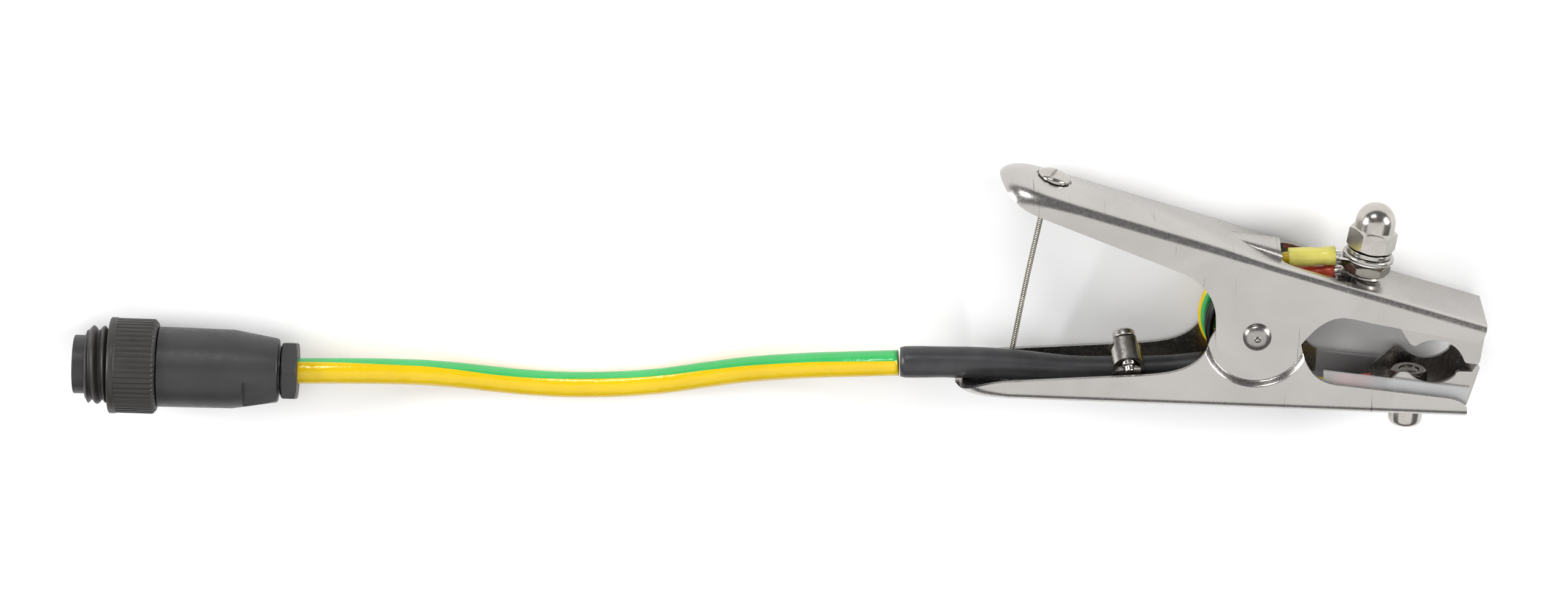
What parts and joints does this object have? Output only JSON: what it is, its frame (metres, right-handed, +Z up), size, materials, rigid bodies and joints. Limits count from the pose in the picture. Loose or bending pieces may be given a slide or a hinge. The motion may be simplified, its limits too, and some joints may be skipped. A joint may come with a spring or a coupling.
{
  "type": "ground clamp",
  "caption": "Spring grounding clamp of pressed stainless channels with insulated jaws, stop rope, terminal stud and a short lead to a round locking plug.",
  "frame": {"origin": "bottom centre of the clamp without its lead and plug, on the surface the clamp lies on", "axes": "+X towards the jaws, +Y towards the upper handle, +Z up along the pivot rivet"},
  "size_m": [0.4301, 0.0835, 0.0322],
  "materials": {
    "handle_steel": "satin pressed stainless sheet with a fine grain, a few scratches and darker bends",
    "jaw_steel": "satin stainless",
    "bright_steel": "polished stainless",
    "dark_steel": "darker plain steel",
    "spring_steel": "black oiled spring wire",
    "rope_steel": "stranded stainless wire",
    "frosted_liner": "frosted translucent plastic",
    "yellow_sleeve": "translucent yellow crimp sleeve",
    "red_sleeve": "translucent red crimp sleeve",
    "tinned_copper": "tinned copper",
    "yellow_green": "yellow insulation with a green stripe",
    "black_shrink": "semi-gloss black shrink tube",
    "grey_plastic": "dark grey moulded plastic",
    "brass": "plated contact"
  },
  "bodies": {
    "lower": {"lower_handle": "handle_steel", "lower_jaw": "jaw_steel", "jaw_liner": "frosted_liner", "pivot_rivet": "bright_steel", "pivot_bush": "jaw_steel", "torsion_spring": "spring_steel", "jaw_screw": "bright_steel", "jaw_screw_washer": "frosted_liner", "jaw_nut": "jaw_steel", "lower_lug": "tinned_copper", "lower_lug_sleeve": "red_sleeve", "terminal_lead": "yellow_green", "second_lead": "yellow_green", "jaw_lead": "yellow_green", "heat_shrink": "black_shrink", "cable": "yellow_green", "rope_anchor": "dark_steel", "stop_rope": "rope_steel", "hose_clamp_band": "bright_steel", "hose_clamp_housing": "bright_steel", "gland_nut": "grey_plastic", "plug_body": "grey_plastic", "plug_insert": "grey_plastic", "contact_pin_1": "brass", "contact_pin_2": "brass", "contact_pin_3": "brass", "contact_pin_4": "brass"},
    "upper": {"upper_handle": "handle_steel", "upper_jaw": "jaw_steel", "terminal_stud": "jaw_steel", "jam_nut": "dark_steel", "flat_washer": "jaw_steel", "spring_washer": "jaw_steel", "acorn_nut": "bright_steel", "terminal_lug": "tinned_copper", "terminal_lug_sleeve": "yellow_sleeve", "second_lug": "tinned_copper", "second_lug_sleeve": "red_sleeve", "rope_screw": "bright_steel", "rope_ferrule": "dark_steel"},
    "coupling": {"coupling_sleeve": "grey_plastic"},
    "worm": {"hose_clamp_screw": "jaw_steel"}
  },
  "joints": [
    {"name": "jaw_hinge", "type": "hinge", "parent": "lower", "child": "upper", "pos_m": [0.01055, -0.00745, 0.0161], "axis": [0, 0, 1], "range_deg": [0, 24], "stiffness_Nm_per_rad": 1.2, "springref_deg": -25.78, "deforming": ["torsion_spring", "terminal_lead", "second_lead", "stop_rope"]},
    {"name": "coupling_turn", "type": "hinge", "parent": "lower", "child": "coupling", "pos_m": [-0.33002, -0.0234, 0.0147], "axis": [-0.9994, 0.035, 0], "continuous": true},
    {"name": "worm_turn", "type": "hinge", "parent": "lower", "child": "worm", "pos_m": [-0.02805, -0.01802, 0.02135], "axis": [-0.1197, 0.6773, -0.7259], "continuous": true}
  ]
}
